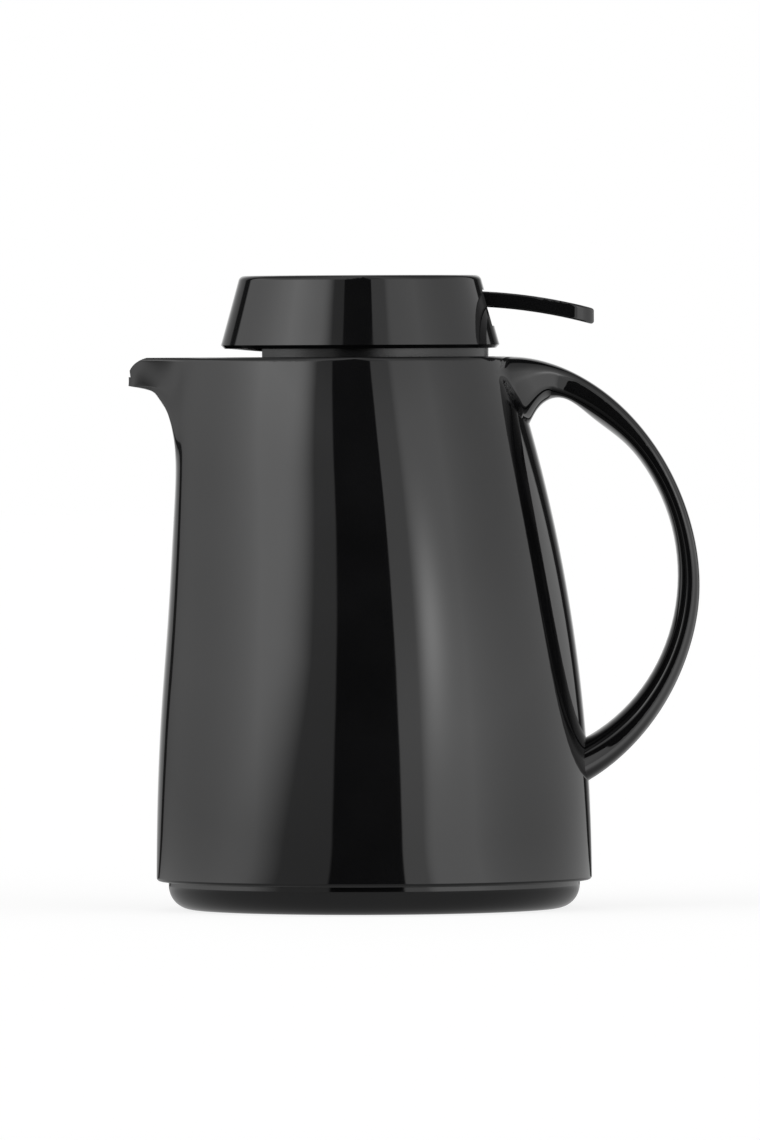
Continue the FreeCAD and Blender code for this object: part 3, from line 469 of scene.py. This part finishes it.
def metal(name, colour, roughness, stretch, strength):
    """Metal with fine marks along one direction."""
    material, tree, shader = new_material(name)
    marks = noise(tree, scale=400.0, stretch=stretch)
    link(tree, mottled(tree, marks, PATCHES, colour, (0.86, 1.0)), shader.inputs["Base Color"])
    patches = ranged(tree, marks, *PATCHES, roughness, roughness + METAL_SPREAD)
    link(tree, patches, shader.inputs["Roughness"])
    link(tree, bump(tree, marks, strength, distance=0.0001), shader.inputs["Normal"])
    shader.inputs["Metallic"].default_value = 1.0
    return material


def finish_nodes(names, material):
    """Give CAD nodes a finish."""
    for name in names:
        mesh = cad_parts[name].data
        mesh.materials.clear()
        mesh.materials.append(material)


def gentle_step(share):
    """Smooth step from 0 to 1."""
    share = np.clip(share, 0.0, 1.0)
    return share ** 2 * (3 - 2 * share)


def taper(height):
    """Share of the body's narrowing reached at a height: 0 at the foot, 1 at the rim."""
    return np.maximum((height - FOOT_HEIGHT) / (RIM_HEIGHT - FOOT_HEIGHT), 0.0) ** TAPER_POWER


def body_radius(height):
    """Radius of the plain cone at a height."""
    return FOOT_RADIUS - (FOOT_RADIUS - RIM_RADIUS) * taper(height)


def front_reach(height):
    """How far the plain cone stands out toward the spout at a height."""
    return body_radius(height) + MOUTH_OFFSET * taper(height)


def swell(height):
    """How far the body's front swells out of the cone: more and more up to the beak, then less to the rim."""
    growing = KEEL_SWELL * np.maximum((height - KEEL_HEIGHT) / (BEAK_HEIGHT - KEEL_HEIGHT), 0.0) ** 2
    slope = 2 * KEEL_SWELL / (BEAK_HEIGHT - KEEL_HEIGHT)
    rise = height - BEAK_HEIGHT
    levelling = KEEL_SWELL + slope * rise * (1 - rise / (RIM_HEIGHT - BEAK_HEIGHT) / 2)
    return np.where(height < BEAK_HEIGHT, growing, levelling)


def bell(angle, degrees):
    """Share of a blunt ridge at an angle from the front: 1 on it, a half at its width in degrees."""
    return 1 / (1 + np.abs(angle / math.radians(degrees)) ** BEAK_BLUNTNESS)


def jug_surface(points):
    """Distance of points outside the jug's moulded skin, measured level with the floor."""
    x, y, height = points.T
    middle = -MOUTH_OFFSET * taper(height)
    angle = np.arctan2(y, middle - x)
    below = np.minimum(height, BEAK_HEIGHT)
    start = front_reach(below) + swell(below)
    rise = np.clip((height - BEAK_HEIGHT) / (BEAK_UNDERSIDE - BEAK_HEIGHT), 0.0, 1.0)
    flare = 1 - (1 - rise ** BEAK_POWER) ** (1 / BEAK_POWER)
    ridge_reach = start + np.where(height > BEAK_UNDERSIDE, BEAK_FLARE + LIP_REACH, BEAK_FLARE * flare)
    sweep = np.maximum((height - BEAK_HEIGHT) / (RIM_HEIGHT - BEAK_HEIGHT), 0.0) ** BEAK_SIDE_POWER
    side_reach = start + (BEAK_FLARE + LIP_REACH) * sweep
    facing = (1 + np.cos(angle)) / 2
    ridge = bell(angle, RIDGE_ANGLE) ** 2
    reach = ridge * ridge_reach + (1 - ridge) * side_reach
    beak = facing * bell(angle, BEAK_ANGLE) * (reach - front_reach(height) - swell(height))
    radius = body_radius(height) + swell(height) * facing ** SWELL_POWER + beak
    return np.hypot(x - middle, y) - radius


def oval_reach(angle, middle, reach, rise, fall, power):
    """Distance from the handle's centre to an oval, along rays at angles above the X axis."""
    near = np.zeros_like(angle)
    far = np.full_like(angle, reach + rise + fall)
    for _ in range(OVAL_HALVINGS):
        length = (near + far) / 2
        across = np.abs(length * np.cos(angle)) / reach
        height = HANDLE_MIDDLE + length * np.sin(angle) - middle
        up = np.abs(height) / np.where(height > 0, rise, fall)
        outside = across ** power + up ** power > 1
        far = np.where(outside, length, far)
        near = np.where(outside, near, length)
    return near


def root_widening(x, height):
    """How far each side of the handle's upper root rounds out toward the body, like a fillet in plan."""
    rise = gentle_step((height - RIM_HEIGHT + ROOT_DROP) / ROOT_DROP)
    fillet = ROOT_LOW_FILLET + (ROOT_SIDE_FILLET - ROOT_LOW_FILLET) * rise
    reach = body_radius(height) + fillet - ROOT_SIDE_OVERLAP
    start = np.sqrt(reach ** 2 - (GRIP_HALF_WIDTH + fillet) ** 2)
    along = np.clip(start - MOUTH_OFFSET * taper(height) - x, 0.0, start * fillet / reach)
    return fillet - np.sqrt(fillet ** 2 - along ** 2)


def handle_surface(points):
    """Measure of points outside the handle's skin: 0 on it, square outside and rounder inside."""
    x, y, height = points.T
    angle = np.arctan2(height - HANDLE_MIDDLE, x - HANDLE_AXIS)
    outer = oval_reach(angle, *HANDLE_OUTSIDE)
    root = ROOT_FILLET * gentle_step((angle - ROOT_START) / ROOT_SPREAD)
    inner = oval_reach(angle, *HANDLE_INSIDE) - root
    length = np.hypot(x - HANDLE_AXIS, height - HANDLE_MIDDLE)
    along = (2 * length - outer - inner) / (outer - inner)
    foot = np.maximum(1 - (angle - HANDLE_START) / FOOT_ROOT_SPREAD, 0.0) ** 2
    widening = np.where(angle > 0, root_widening(x, height), 0.0)
    side = np.abs(y) / (GRIP_HALF_WIDTH + FOOT_ROOT_WIDENING * foot + widening)
    root_share = gentle_step(angle / HANDLE_END)
    outer_power = GRIP_OUTER_POWER + (ROOT_OUTER_POWER - GRIP_OUTER_POWER) * root_share
    power = np.where(along > 0, outer_power, GRIP_INNER_POWER)
    return (np.abs(along) ** power + side ** power) ** (1 / power) - 1


def unit(vectors):
    """Vectors made one long."""
    return vectors / np.maximum(np.linalg.norm(vectors, axis=1, keepdims=True), SHORTEST)


def slope_normals(surface, points):
    """Directions in which a surface's measure grows fastest at points."""
    slopes = []
    for axis in range(3):
        shift = np.zeros(3)
        shift[axis] = NORMAL_STEP
        slopes.append(surface(points + shift) - surface(points - shift))
    return unit(np.stack(slopes, axis=1))


def jug_normals(points):
    """Normals of the jug's skin, which rounds over at the rim and under at the foot."""
    low = FOOT_HEIGHT + FOOT_ROUNDING
    high = RIM_HEIGHT - RIM_ROUNDING
    height = points[:, 2]
    level = points.copy()
    level[:, 2] = np.clip(height, low, high)
    over = np.clip((height - high) / RIM_ROUNDING, 0.0, 1.0)
    under = np.clip((low - height) / FOOT_ROUNDING, 0.0, 1.0)
    turn = np.arcsin(over) - np.arcsin(under)
    normals = slope_normals(jug_surface, level) * np.cos(turn)[:, None]
    normals[:, 2] += np.sin(turn)
    return unit(normals)


def handle_normals(points):
    """Normals of the handle's skin, which run into the jug's at the upper root."""
    near = gentle_step(1 - jug_surface(points) / ROOT_BLEND) * (points[:, 2] > HANDLE_MIDDLE)
    own = slope_normals(handle_surface, points)
    return unit(own * (1 - near[:, None]) + slope_normals(jug_surface, points) * near[:, None])


def node_piece(name, node, body, material):
    """A piece that stands in for a CAD node, in the node's form."""
    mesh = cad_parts[node].data.copy()
    mesh.name = name
    mesh.materials.clear()
    mesh.materials.append(material)
    piece = bpy.data.objects.new(name, mesh)
    bpy.context.scene.collection.objects.link(piece)
    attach(piece, body)
    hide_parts(node)
    return piece


def refine(mesh, longest, bottom):
    """Split a mesh's longer edges above a height, so that its normals can turn in smaller steps."""
    fine = bmesh.new()
    fine.from_mesh(mesh)
    bmesh.ops.remove_doubles(fine, verts=fine.verts, dist=WELD_DISTANCE)
    for _ in range(REFINING_PASSES):
        edges = [edge for edge in fine.edges
                 if edge.calc_length() > longest and min(end.co.z for end in edge.verts) > bottom]
        bmesh.ops.subdivide_edges(fine, edges=edges, cuts=1)
        bmesh.ops.triangulate(fine, faces=fine.faces)
    fine.to_mesh(mesh)
    fine.free()


def values_of(items, name, width, kind):
    """A property of a mesh's items as an array."""
    values = np.empty(len(items) * width, dtype=kind)
    items.foreach_get(name, values)
    return values


def moulded_piece(name, node, normals_at, limit, refining, material):
    """A piece of the jug whose mesh is shaded by the true normals of its moulded skin."""
    mesh = node_piece(name, node, "jug", material).data
    refine(mesh, *refining)
    points = values_of(mesh.vertices, "co", 3, float).reshape(-1, 3)
    corner_vertices = values_of(mesh.loops, "vertex_index", 1, np.int32)
    face_normals = values_of(mesh.polygons, "normal", 3, float).reshape(-1, 3)
    face_sizes = values_of(mesh.polygons, "loop_total", 1, np.int32)
    own = values_of(mesh.corner_normals, "vector", 3, float).reshape(-1, 3)
    faces = np.repeat(face_normals, face_sizes, axis=0)
    true = normals_at(points)[corner_vertices]
    fit = (true * faces).sum(axis=1)[:, None]
    bent = faces * math.cos(limit) + unit(true - faces * fit) * math.sin(limit)
    kept = np.where(fit > OTHER_SURFACE, bent, own)
    mesh.polygons.foreach_set("use_smooth", np.ones(len(mesh.polygons), dtype=bool))
    mesh.normals_split_custom_set(np.where(fit > math.cos(limit), true, kept).tolist())


class CARAFE_OT_body(Operator):
    """Build the jug and its handle, and give all polished parts their finish"""

    bl_idname = "carafe.body"
    bl_label = "Jug, handle and polished parts"

    def execute(self, context):
        look = context.scene.carafe_finish
        plastic = gloss_plastic(look.plastic_colour, look.plastic_roughness)
        moulded_piece("jug_body", "jug_shell", jug_normals, JUG_NORMAL_LIMIT, JUG_REFINING, plastic)
        moulded_piece("grip", "handle", handle_normals, HANDLE_NORMAL_LIMIT, HANDLE_REFINING, plastic)
        finish_nodes(["base_cover", "lid_cover", "thumb_lever"], plastic)
        return {"FINISHED"}


class CARAFE_OT_lid(Operator):
    """Finish the lid's lower half, the valve and the seals, and build the spring"""

    bl_idname = "carafe.lid"
    bl_label = "Lid, valve and seals"

    def execute(self, context):
        look = context.scene.carafe_finish
        inner = plain_plastic("matt_black_plastic", look.inner_colour, roughness=0.26, grain=1500.0)
        finish_nodes(["lid_base", "valve_stem", "valve_plug"], inner)
        silicone = soft_material("clear_silicone", look.silicone_colour, roughness=0.4, see_through=0.3)
        finish_nodes(["mouth_seal", "lid_seal", "stem_seal", "valve_seal"], silicone)
        steel = metal("drawn_steel", look.steel_colour, roughness=0.22, stretch=DRAWN_STRETCH, strength=0.08)
        finish_nodes(["lever_pin"], steel)
        spring = node_piece("spring_coil", "valve_spring", "lid", steel)
        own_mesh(spring)
        return {"FINISHED"}


class CARAFE_OT_flask(Operator):
    """Finish the glass flask and what holds it"""

    bl_idname = "carafe.flask"
    bl_label = "Flask"

    def execute(self, context):
        look = context.scene.carafe_finish
        colour = look.silver_colour
        silver = metal("silvered_glass", colour, roughness=0.03, stretch=BLOWN_STRETCH, strength=0.01)
        finish_nodes(["flask_outer", "flask_inner"], silver)
        rubber = soft_material("soft_black_rubber", look.rubber_colour, roughness=0.55, see_through=0.0)
        finish_nodes(["flask_cushion", "base_gasket"], rubber)
        pads = plain_plastic("pressed_pads", look.pad_colour, roughness=0.85, grain=700.0)
        finish_nodes(["vacuum_spacers"], pads)
        return {"FINISHED"}


def side_light(tree, side, across, height):
    """Brightness of one side of the studio: its softbox, and the wall behind that."""
    low = math_node(tree, "MINIMUM", height, LOW_TOP)
    upper = math_node(tree, "SUBTRACT", height, low)
    low_lean = product(tree, low, side["edge_low_lean"])
    upper_lean = product(tree, upper, side["edge_upper_lean"])

    place = math_node(tree, "DIVIDE", height, LEVELS_TOP)
    strength = product(tree, ramp(tree, place, side["levels"]), SOFTBOX_STRENGTH)
    edge = total(tree, across, side["edge"], low_lean, upper_lean)
    full = ranged(tree, edge, -side["edge_width"], side["edge_width"], 0.0, 1.0)
    line = total(tree, across, side["line"], product(tree, height, LINE_LEAN))
    dim = ranged(tree, line, -LINE_WIDTH, LINE_WIDTH, 0.0, side["line_level"])
    opened = math_node(tree, "MAXIMUM", full, dim)
    far = math_node(tree, "MAXIMUM", total(tree, across, -side["fade_start"]), 0.0)
    fade = math_node(tree, "EXPONENT", product(tree, far, -FADE_RATE))
    faded = total(tree, product(tree, fade, 1 - side["fade_least"]), side["fade_least"])
    behind = total(tree, across, product(tree, low, side["end_lean"]))
    ended = ranged(tree, behind, side["end"], side["end"] + END_WIDTH, 1.0, 0.0)
    softbox = product(tree, strength, opened, faded, ended)

    wall_edge = ranged(tree, behind, side["wall"], side["wall"] + WALL_WIDTH, 0.0, side["wall_level"])
    past = math_node(tree, "MAXIMUM", total(tree, behind, -side["wall"]), 0.0)
    wall = total(tree, wall_edge, product(tree, past, side["wall_growth"]))
    return math_node(tree, "MAXIMUM", softbox, math_node(tree, "MINIMUM", wall, 1.0))


def spot_light(tree, across, height):
    """Brightness of the soft spot on the right side's softbox."""
    aside = math_node(tree, "DIVIDE", total(tree, across, -SPOT_ACROSS), SPOT_WIDTH)
    above = math_node(tree, "DIVIDE", total(tree, height, -SPOT_HEIGHT), SPOT_RISE)
    far = total(tree, product(tree, aside, aside), product(tree, above, above))
    return product(tree, math_node(tree, "EXPONENT", product(tree, far, -1.0)), SPOT_STRENGTH)


def studio_light(tree, x, y, height):
    """Brightness of the studio by direction: soft light from both sides, a dark front and a white back."""
    size = math_node(tree, "MAXIMUM", math_node(tree, "ABSOLUTE", x), LEAST_ASIDE)
    across = math_node(tree, "DIVIDE", y, size)
    left = side_light(tree, LEFT_SIDE, across, height)
    right = total(tree, side_light(tree, RIGHT_SIDE, across, height), spot_light(tree, across, height))
    on_left = math_node(tree, "LESS_THAN", x, 0.0)
    on_right = math_node(tree, "SUBTRACT", 1.0, on_left)
    sides = total(tree, product(tree, left, on_left), product(tree, right, on_right))
    return product(tree, math_node(tree, "MAXIMUM", sides, DARKEST), STUDIO_LEVEL)


def level_distance(tree, x, y):
    """Distance from the upright axis."""
    return math_node(tree, "SQRT", total(tree, product(tree, x, x), product(tree, y, y)))


def studio_world(scene):
    """The studio by direction. The camera sees white."""
    world = bpy.data.worlds.new("studio")
    scene.world = world
    world.use_nodes = True
    tree = world.node_tree
    tree.nodes.clear()
    axes = tree.nodes.new("ShaderNodeSeparateXYZ")
    link(tree, tree.nodes.new("ShaderNodeTexCoord").outputs["Generated"], axes.inputs[0])
    x, y, z = axes.outputs
    level = math_node(tree, "MAXIMUM", level_distance(tree, x, y), LEAST_LEVEL)
    height = math_node(tree, "MAXIMUM", math_node(tree, "DIVIDE", z, level), 0.0)
    light = studio_light(tree, x, y, height)
    seen = tree.nodes.new("ShaderNodeLightPath").outputs["Is Camera Ray"]
    studio = tree.nodes.new("ShaderNodeBackground")
    studio.inputs["Color"].default_value = (1.0, 1.0, 1.0, 1.0)
    link(tree, light, studio.inputs["Strength"])
    white = tree.nodes.new("ShaderNodeBackground")
    white.inputs["Color"].default_value = (*scene.carafe_stage.floor_colour, 1.0)
    both = tree.nodes.new("ShaderNodeMixShader")
    link(tree, seen, both.inputs["Fac"])
    link(tree, studio.outputs["Background"], both.inputs[1])
    link(tree, white.outputs["Background"], both.inputs[2])
    out = tree.nodes.new("ShaderNodeOutputWorld")
    link(tree, both.outputs["Shader"], out.inputs["Surface"])


def floor_material(colour):
    """White floor that shows a faint shadow. Glossy rays see the studio in it, dim near the carafe."""
    material = bpy.data.materials.new("studio_floor")
    material.use_nodes = True
    tree = material.node_tree
    tree.nodes.clear()
    path = tree.nodes.new("ShaderNodeLightPath").outputs
    axes = tree.nodes.new("ShaderNodeSeparateXYZ")
    link(tree, tree.nodes.new("ShaderNodeNewGeometry").outputs["Position"], axes.inputs[0])
    x, y, z = axes.outputs
    near = ranged(tree, level_distance(tree, x, y), *FLOOR_NEAR, 1.0, 0.0)
    far = math_node(tree, "SUBTRACT", 1.0, near)
    far_light = studio_light(tree, x, y, math_node(tree, "MAXIMUM", z, 0.0))
    mirrored = total(tree, product(tree, far_light, far), product(tree, near, FLOOR_NEAR_LEVEL))
    mirrored = product(tree, path["Is Glossy Ray"], mirrored)
    seen = math_node(tree, "MAXIMUM", path["Is Camera Ray"], path["Is Transmission Ray"])
    strength = math_node(tree, "MAXIMUM", product(tree, seen, FLOOR_GLOW), mirrored)
    matt = tree.nodes.new("ShaderNodeBsdfDiffuse")
    matt.inputs["Color"].default_value = (*shade(colour, FLOOR_TONE), 1.0)
    glow = tree.nodes.new("ShaderNodeEmission")
    glow.inputs["Color"].default_value = (*colour, 1.0)
    link(tree, strength, glow.inputs["Strength"])
    both = tree.nodes.new("ShaderNodeAddShader")
    link(tree, matt.outputs["BSDF"], both.inputs[0])
    link(tree, glow.outputs["Emission"], both.inputs[1])
    reflected = tree.nodes.new("ShaderNodeMixShader")
    link(tree, path["Is Glossy Ray"], reflected.inputs["Fac"])
    link(tree, both.outputs["Shader"], reflected.inputs[1])
    link(tree, glow.outputs["Emission"], reflected.inputs[2])
    out = tree.nodes.new("ShaderNodeOutputMaterial")
    link(tree, reflected.outputs["Shader"], out.inputs["Surface"])
    return material


class CARAFE_OT_stage(Operator):
    """Set up the floor, the light and the camera"""

    bl_idname = "carafe.stage"
    bl_label = "Studio"

    def execute(self, context):
        scene = context.scene
        stage = scene.carafe_stage
        scene.view_settings.view_transform = "Standard"
        studio_world(scene)
        mesh = bpy.data.meshes.new("floor")
        half = FLOOR_HALF
        corners = [(-half, -half, 0), (half, -half, 0), (half, half, 0), (-half, half, 0)]
        mesh.from_pydata(corners, [], [(0, 1, 2, 3)])
        mesh.materials.append(floor_material(stage.floor_colour))
        floor = bpy.data.objects.new("floor", mesh)
        floor.location.z = FLOOR_DEPTH
        scene.collection.objects.link(floor)

        lens = bpy.data.cameras.new("camera")
        place = Vector((stage.view_middle_x, -stage.camera_distance, stage.camera_height))
        target = Vector((stage.view_middle_x, 0, stage.view_middle_z))
        distance = (target - place).length
        lens.sensor_fit = "AUTO"
        lens.lens = lens.sensor_width * distance / stage.view_height
        lens.clip_end = VIEW_END
        camera = bpy.data.objects.new("camera", lens)
        camera.location = place
        camera.rotation_euler = (target - place).to_track_quat("-Z", "Y").to_euler()
        camera.rotation_euler.rotate_axis("Z", stage.camera_roll)
        scene.collection.objects.link(camera)
        scene.camera = camera
        return {"FINISHED"}


class CARAFE_PT_panel(Panel):
    """Pieces and settings of the carafe"""

    bl_label = "Thermal carafe"
    bl_idname = "CARAFE_PT_panel"
    bl_space_type = "VIEW_3D"
    bl_region_type = "UI"
    bl_category = "Carafe"

    def draw(self, context):
        layout = self.layout
        for operator in OPERATORS:
            layout.operator(operator.bl_idname)
        for group in (context.scene.carafe_finish, context.scene.carafe_stage):
            for name in group.bl_rna.properties.keys():
                if name not in ("name", "rna_type"):
                    layout.prop(group, name)


OPERATORS = (CARAFE_OT_body, CARAFE_OT_lid, CARAFE_OT_flask, CARAFE_OT_stage)
GROUPS = {"carafe_finish": CarafeFinish, "carafe_stage": CarafeStage}


def register():
    """Register the settings, the operators and the panel."""
    for name, group in GROUPS.items():
        bpy.utils.register_class(group)
        setattr(bpy.types.Scene, name, PointerProperty(type=group))
    for operator in OPERATORS:
        bpy.utils.register_class(operator)
    bpy.utils.register_class(CARAFE_PT_panel)


def unregister():
    """Take the panel, the operators and the settings out again."""
    bpy.utils.unregister_class(CARAFE_PT_panel)
    for operator in reversed(OPERATORS):
        bpy.utils.unregister_class(operator)
    for name, group in reversed(GROUPS.items()):
        delattr(bpy.types.Scene, name)
        bpy.utils.unregister_class(group)


def main():
    """Build every piece, then the studio."""
    register()
    bpy.ops.carafe.body()
    bpy.ops.carafe.lid()
    bpy.ops.carafe.flask()
    bpy.ops.carafe.stage()


if __name__ == "__main__":
    main()
